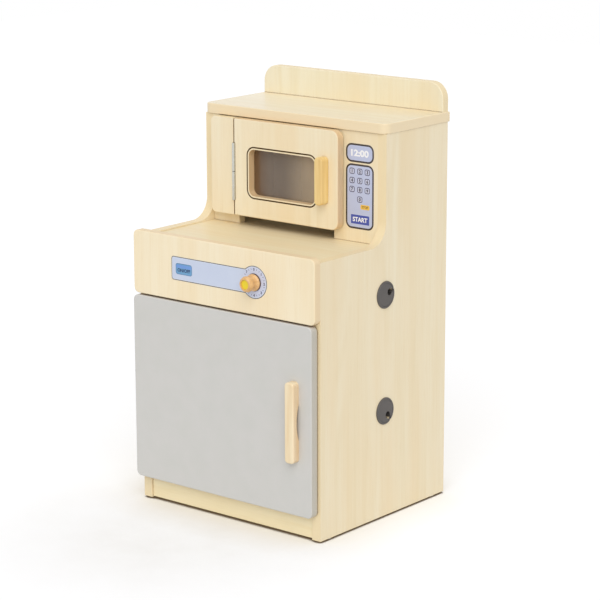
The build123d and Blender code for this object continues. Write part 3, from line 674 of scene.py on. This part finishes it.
def labelPlace(part):
    # a label's middle and size in the plane of its face, and the depth of that face, all from its box
    low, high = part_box(part)
    return ((low.x + high.x) / 2, (low.z + high.z) / 2), (high.x - low.x, high.z - low.z), low.y


def inkLayer(face, layer=1.0, look=inkLook):
    # where a layer of print starts and ends: one depth behind the face, and layer times the depth before it
    return face + look["depth"], face - look["depth"] * layer


# Clock and keypad

clockLook = {
    "corner": 12.0 * mm,
    "outlineWidth": 3.1 * mm,
    "time": "12:00",
    "digitHeight": 12.0 * mm,
    "digitWeight": 0.045,
    "digitStretch": 1.22,
}


def makeClock(look):
    # a band along the label's rim, and the time in its middle
    middle, size, face = labelPlace("clock_label")
    layer = inkLayer(face)
    path, out = roundedPath(*size, look["corner"])
    makePrint("clock_outline", bandMesh(path, out, middle, look["outlineWidth"], *layer), "outline_ink")
    time = wordMesh(look["time"], look["digitHeight"], middle, *layer, look["digitWeight"],
                    look["digitStretch"])
    makePrint("clock_digits", time, "white_ink")


keypadLook = {
    "corner": 12.0 * mm,
    "outlineWidth": 3.1 * mm,
    "columns": (-16.7 * mm, 0.1 * mm, 16.3 * mm),  # from the label's middle
    "rows": (44.0 * mm, 27.8 * mm, 12.1 * mm, -4.7 * mm),
    "keys": ("123", "456", "789", " 0 "),
    "keySize": (11.0 * mm, 10.6 * mm),
    "keyCorner": 3.0 * mm,
    "keySteps": 5,
    "keyLine": 1.3 * mm,
    "digitHeight": 6.1 * mm,
    "digitWeight": 0.036,  # above this the outlines of 3 and 8 touch themselves
    "stop": {"middle": (11.6 * mm, -17.4 * mm), "size": (19.5 * mm, 8.4 * mm), "corner": 2.6 * mm,
             "height": 4.4 * mm, "ink": "stop_ink", "wordInk": "stop_word_ink"},
    "start": {"middle": (0.9 * mm, -40.1 * mm), "size": (39.5 * mm, 16.0 * mm), "corner": 1.2 * mm,
              "height": 8.2 * mm, "ink": "start_ink", "wordInk": "white_ink"},
    "wordKeySteps": 6,
    "wordWeight": 0.03,
}


def makeKeypad(look):
    # small outlined keys with digits in columns and rows, then the two keys with words
    middle, size, face = labelPlace("keypad_label")
    layer, higher = inkLayer(face), inkLayer(face, inkLook["higher"])
    path, out = roundedPath(*size, look["corner"])
    makePrint("keypad_outline", bandMesh(path, out, middle, look["outlineWidth"], *layer), "outline_ink")
    path, out = roundedPath(*look["keySize"], look["keyCorner"], look["keySteps"])
    lines, pads, digits = [], [], []
    for row, names in zip(look["rows"], look["keys"]):
        for column, digit in zip(look["columns"], names):
            if digit == " ":
                continue
            here = (middle[0] + column, middle[1] + row)
            lines.append(bandMesh(path, out, here, look["keyLine"], *higher))
            pads.append(plateMesh(path, out, here, *layer, inkLook["bevel"]))
            digits.append(wordMesh(digit, look["digitHeight"], here, *higher, look["digitWeight"]))
    makePrint("key_pads", together(pads), "key_ink")
    makePrint("key_lines", together(lines), "line_ink")
    makePrint("key_digits", together(digits), "digit_ink")
    for word in ("stop", "start"):
        key = look[word]
        here = (middle[0] + key["middle"][0], middle[1] + key["middle"][1])
        path, out = roundedPath(*key["size"], key["corner"], look["wordKeySteps"])
        makePrint(word + "_key", plateMesh(path, out, here, *layer, inkLook["bevel"]), key["ink"])
        letters = wordMesh(word.upper(), key["height"], here, *higher, look["wordWeight"])
        makePrint(word + "_word", letters, key["wordInk"])


makeClock(clockLook)
makeKeypad(keypadLook)
print("  clock and keypad")


# Label round the dial

dialLabelLook = {
    "ringRadius": 28.5 * mm,
    "ringSteps": 97,
    "halfHeight": 21.0 * mm,
    "corner": 5.0 * mm,
    "cornerSteps": 7,
    "outlineWidth": 1.2 * mm,
    "lightWidth": 1.3 * mm,
    "knobRadius": 13.0 * mm,
    "knobShadeRadius": 15.6 * mm,  # outer radius of the printed ring of painted shade that hugs the knob
    "numbers": 8,
    "numberRadius": 22.6 * mm,
    "numberHeight": 4.8 * mm,
    "numberWeight": 0.036,
    "tickRadius": (21.6 * mm, 24.2 * mm),
    "tickWidth": 0.7 * mm,
    "ticksBetween": 2,
}
switchLook = {
    "middle": (-159.4 * mm, -0.3 * mm),  # from the middle of the dial
    "size": (37.5 * mm, 19.5 * mm),
    "corner": 4.0 * mm,
    "cornerSteps": 6,
    "line": 1.0 * mm,
    "band": 5.4 * mm,
    "bandDrop": 2.6 * mm,  # from the key's upper edge to the band
    "bandRound": 2.2,  # the band's height to its corner radius
    "bandLayer": 1.6,
    "word": "ON/OFF",
    "wordDrop": 2.0 * mm,
    "wordHeight": 6.4 * mm,
    "wordWeight": 0.045,
}


def stripAndRing(left, look):
    # anticlockwise outline of a strip that opens into a disc at its right end, in the plane of the label:
    # the disc is its radius times (cos a, sin a), from where it meets the strip's lower edge to its upper one
    meet = math.pi - math.asin(look["halfHeight"] / look["ringRadius"])
    around = np.linspace(-meet, meet, look["ringSteps"])
    disc = np.stack([np.cos(around), np.sin(around)], axis=1)
    quarter = np.linspace(math.pi / 2, math.pi, look["cornerSteps"])
    upper = np.stack([np.cos(quarter), np.sin(quarter)], axis=1)
    lower = upper[::-1] * np.array([1, -1])
    inset, reach = left + look["corner"], look["halfHeight"] - look["corner"]
    edge = look["ringRadius"] * math.cos(meet)
    path = np.concatenate([
        disc * look["ringRadius"],
        [[edge, look["halfHeight"]]],
        upper * look["corner"] + [inset, reach],
        lower * look["corner"] + [inset, -reach],
        [[edge, -look["halfHeight"]]],
    ])
    out = np.concatenate([disc, [[0, 1]], upper, lower, [[0, -1]]])
    return path, out


def tickMesh(middle, angle, look, back, front):
    # a small bar that points to the dial's middle: its four corners are turned by the angle
    inner, outer = look["tickRadius"]
    half = look["tickWidth"] / 2
    corners = np.array([[inner, -half], [outer, -half], [outer, half], [inner, half]])
    turned = corners @ np.array([[math.cos(angle), math.sin(angle)], [-math.sin(angle), math.cos(angle)]])
    path = turned + np.array(middle)
    points = np.concatenate([np.insert(path, 1, back, axis=1), np.insert(path, 1, front, axis=1)])
    faces = gridFaces(2, 4, False) + [[3, 2, 1, 0], [4, 5, 6, 7]]
    return points, faces


def makeDialLabel(look):
    # two lines along the label's rim, a ring, a printed ring of painted shade round the knob, and numbers
    # with ticks between
    low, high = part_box("fascia_label")
    middle = (high.x - look["ringRadius"], (low.z + high.z) / 2)
    layer, higher = inkLayer(low.y), inkLayer(low.y, inkLook["higher"])
    path, out = stripAndRing(low.x - middle[0], look)
    outline = bandMesh(path, out, middle, look["outlineWidth"], *layer)
    makePrint("dial_label_outline", outline, "thin_line_ink")
    inside = path - out * look["outlineWidth"]
    light = bandMesh(inside, out, middle, look["lightWidth"], *layer)
    makePrint("dial_label_light_line", light, "light_ink")
    rim = look["ringRadius"] - look["outlineWidth"] - look["lightWidth"]
    makePrint("dial_ring", ringMesh(middle, look["knobShadeRadius"], rim, *layer), "ring_ink")
    # a printed ring of painted shade round the knob's heel
    line = ringMesh(middle, look["knobRadius"], look["knobShadeRadius"], *layer)
    makePrint("dial_knob_shade_ring", line, "knob_shade_ink")
    marks = []
    between = look["ticksBetween"] + 1
    places = look["numbers"] * between
    for place in range(places):
        angle = math.pi / 2 - place * 2 * math.pi / places
        if place % between:
            marks.append(tickMesh(middle, angle, look, *higher))
            continue
        here = (middle[0] + look["numberRadius"] * math.cos(angle),
                middle[1] + look["numberRadius"] * math.sin(angle))
        number = str(place // between)
        marks.append(wordMesh(number, look["numberHeight"], here, *higher, look["numberWeight"]))
    makePrint("dial_numbers", together(marks), "number_ink")
    return middle, low.y


def makeSwitch(dial, face, look):
    # an outlined key with a lighter band across its upper part and a word below it
    layer, higher = inkLayer(face), inkLayer(face, inkLook["higher"])
    here = (dial[0] + look["middle"][0], dial[1] + look["middle"][1])
    path, out = roundedPath(*look["size"], look["corner"], look["cornerSteps"])
    makePrint("switch_key", plateMesh(path, out, here, *layer, inkLook["bevel"]), "switch_ink")
    makePrint("switch_line", bandMesh(path, out, here, look["line"], *higher), "switch_line_ink")
    bandMiddle = (here[0], here[1] + (look["size"][1] - look["band"]) / 2 - look["bandDrop"])
    bandCorner = look["band"] / look["bandRound"]
    path, out = roundedPath(look["size"][0] - look["line"], look["band"], bandCorner, look["cornerSteps"])
    band = plateMesh(path, out, bandMiddle, *inkLayer(face, look["bandLayer"]), inkLook["bevel"])
    makePrint("switch_band", band, "switch_band_ink")
    wordMiddle = (here[0], here[1] - look["wordDrop"])
    word = wordMesh(look["word"], look["wordHeight"], wordMiddle, *higher, look["wordWeight"])
    makePrint("switch_word", word, "switch_word_ink")


makeSwitch(*makeDialLabel(dialLabelLook), switchLook)
print("  dial label and switch")


# Dark lining in the groove round the oven window

grooveLook = {
    "paneMargin": 8.0 * mm,
    "windowCorner": 12.0 * mm,
    "cornerSteps": 12,
    "offset": 2.75 * mm,
    "width": 2.0 * mm,
    "depth": 1.4 * mm,
    "wall": 0.15 * mm,
    "lip": 0.3 * mm,
    # the lining's dark brown
    "paint": screen(96, 74, 44),
    "roughness": 0.8,
    "skinScale": 1500.0,
    "specular": 0.1,
}


def makeGroove(look):
    # a dark lining in a channel, its profile carried round the window: walls and a floor line the groove,
    # and a lip lies on the wood on either side
    low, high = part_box("window_pane")
    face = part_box("microwave_door_panel")[0].y
    middle = ((low.x + high.x) / 2, (low.z + high.z) / 2)
    width, lip, wall = look["width"], look["lip"], look["wall"]
    grown = look["offset"] + width - look["paneMargin"]
    corner = look["windowCorner"] + look["offset"] + width
    size = (high.x - low.x + 2 * grown, high.z - low.z + 2 * grown)
    path, out = roundedPath(*size, corner, look["cornerSteps"])
    proud, floor = face - inkLook["depth"], face + look["depth"]
    rows = [(0, face), (lip, face), (lip, proud), (-wall, proud), (-wall, floor - wall),
            (wall - width, floor - wall), (wall - width, proud), (-width - lip, proud),
            (-width - lip, face), (-width, face), (-width, floor), (0, floor)]
    grid = carryRound(path, out, middle, rows)
    paint = plainFinish("groove_paint", look["paint"], look["paint"], look["roughness"], look["skinScale"],
                        Specular_IOR_Level=look["specular"])
    makePiece("window_groove_dark_lining", grid.reshape(-1, 3), gridFaces(len(rows), len(path), True),
              paint, "maple_board", "microwave_door")


makeGroove(grooveLook)
print("  window groove")


# Stage, light and camera

floorLook = {
    "side": 12.0,
    "paint": (0.8, 0.8, 0.8, 1.0),
    "roughness": 0.9,
    "glow": (0.56, 0.50, 0.40, 1.0),
    "shaded": (0.54, 0.61, 0.74, 1.0),
    # painted contact shadow where the kitchen stands
    "contactShadow": (0.15, 0.11, 0.07, 1.0),
    "contactShadowReach": 10.0 * mm,
    "nearShade": (0.90, 0.86, 0.80, 1.0),
    "nearReach": 110.0 * mm,
    "nearRange": (0.5, 1.0),
    # a painted pool of shade on the floor in front of the kitchen, mottled by the cloud below
    "shadePool": (0.87, 0.855, 0.825, 1.0),
    "shadePoolMiddle": (-0.02, -0.30, 0.0),
    "shadePoolReach": (0.08, 0.42),
    "cloudNoise": (9.0, 4.0, 0.65),
    "cloudShare": (0.7, 1.0),
}
lightLook = {
    "room": 0.58,
    "sun": 1.45,
    "sunFrom": (0.46, -0.60, 0.66),
    "sunSoftness": 50.0,  # degrees
}


def lookedAt(finish):
    # 1 where the camera, a gloss or a clear body sees the surface straight on its way, otherwise 0:
    # the largest of three values that are 0 or 1
    path = addNode(finish, "LightPath").outputs
    either = calc(finish, "MAXIMUM", path["Is Camera Ray"], path["Is Glossy Ray"])
    return calc(finish, "MAXIMUM", either, path["Is Transmission Ray"])


def makeFloor(look):
    # a white floor that lights the room as plain paint, but is looked at as matt paint plus a glow, both
    # in a tone with painted shade that deepens round the shade pool's middle, near the kitchen and where it
    # stands
    half = look["side"] / 2
    mesh = bpy.data.meshes.new("floor")
    corners = [(-half, -half, 0), (half, -half, 0), (half, half, 0), (-half, half, 0)]
    mesh.from_pydata(corners, [], [(0, 1, 2, 3)])
    floor = bpy.data.objects.new("floor", mesh)
    bpy.context.scene.collection.objects.link(floor)
    finish = newFinish("white_floor", look["paint"], look["roughness"])
    place = addNode(finish, "TexCoord").outputs["Object"]
    # painted shade pool round its middle, mottled by a cloud
    away = addNode(finish, "VectorMath", [(0, place), (1, look["shadePoolMiddle"])], operation="DISTANCE")
    fade = remap(finish, away.outputs["Value"], *look["shadePoolReach"], 1.0, 0.0)
    cloud = remap(finish, noise(finish, place, *look["cloudNoise"]), *noiseSpan, *look["cloudShare"])
    tone = mixColour(finish, calc(finish, "MULTIPLY", fade, cloud), white, look["shadePool"])
    # painted shade near the kitchen
    near = shadeInCorners(finish, look["nearReach"], look["nearRange"])
    tone = mixColour(finish, near, tone, tinted(finish, tone, look["nearShade"]))
    # painted contact shadow where the kitchen stands
    tone = mixColour(finish, shadeInCorners(finish, look["contactShadowReach"]), tone, look["contactShadow"])
    matt = addNode(finish, "BsdfDiffuse", [("Color", tinted(finish, tone, look["shaded"]))])
    glow = addNode(finish, "Emission", [("Color", tinted(finish, tone, look["glow"])), ("Strength", 1.0)])
    seen = addNode(finish, "AddShader", [(0, matt.outputs[0]), (1, glow.outputs[0])])
    nodes = finish.node_tree.nodes
    unseen = nodes["Principled BSDF"].outputs[0]
    mix = addNode(finish, "MixShader", [(0, lookedAt(finish)), (1, unseen), (2, seen.outputs[0])])
    finish.node_tree.links.new(mix.outputs[0], nodes["Material Output"].inputs["Surface"])
    mesh.materials.append(finish)


def makeRoom(look):
    # a plain room light, which is seen as white
    world = bpy.data.worlds.new("white_room")
    bpy.context.scene.world = world
    world.use_nodes = True
    world.node_tree.nodes.clear()
    light = addNode(world, "Background", [("Color", white), ("Strength", look["room"])])
    seen = addNode(world, "Background", [("Color", white), ("Strength", 1.0)])
    mix = addNode(world, "MixShader", [(0, lookedAt(world)), (1, light.outputs[0]), (2, seen.outputs[0])])
    addNode(world, "OutputWorld", [("Surface", mix.outputs[0])])


def makeSun(look):
    # a wide soft sun, its own Z axis turned towards where the light comes from
    data = bpy.data.lights.new("soft_sun", "SUN")
    data.energy = look["sun"]
    data.angle = math.radians(look["sunSoftness"])
    sun = bpy.data.objects.new("soft_sun", data)
    bpy.context.scene.collection.objects.link(sun)
    sun.rotation_euler = Vector(look["sunFrom"]).to_track_quat("Z", "Y").to_euler()


cameraLook = {
    "place": (2.518333, -3.046328, 1.306629),
    "turn": 0.6845189,  # radians to the left of the way to the back wall
    "tilt": 0.2335384,  # radians downwards
    "roll": -0.0026186,
    "pixelLength": 2287.2406,  # focal length in pixels of a picture 600 wide
    "pictureWidth": 600.0,
    "sensor": 36.0,
    "seesTo": 50.0,
}


def makeCamera(look):
    # the way ahead comes from the turn and the tilt, and right and top are turned round it by the roll
    turn, tilt, roll = look["turn"], look["tilt"], look["roll"]
    ahead = Vector((-math.sin(turn) * math.cos(tilt), math.cos(turn) * math.cos(tilt), -math.sin(tilt)))
    level = Vector((math.cos(turn), math.sin(turn), 0))
    above = level.cross(ahead)
    right = math.cos(roll) * level + math.sin(roll) * above
    top = -math.sin(roll) * level + math.cos(roll) * above
    data = bpy.data.cameras.new("camera")
    data.sensor_width = look["sensor"]
    data.lens = look["pixelLength"] * look["sensor"] / look["pictureWidth"]
    data.clip_end = look["seesTo"]
    camera = bpy.data.objects.new("camera", data)
    bpy.context.scene.collection.objects.link(camera)
    turned = Matrix((right, top, -ahead)).transposed().to_4x4()
    camera.matrix_world = Matrix.Translation(look["place"]) @ turned
    bpy.context.scene.camera = camera


makeCamera(cameraLook)
makeFloor(floorLook)
makeRoom(lightLook)
makeSun(lightLook)
bpy.context.scene.view_settings.view_transform = "Standard"
print("  stage, light and camera")
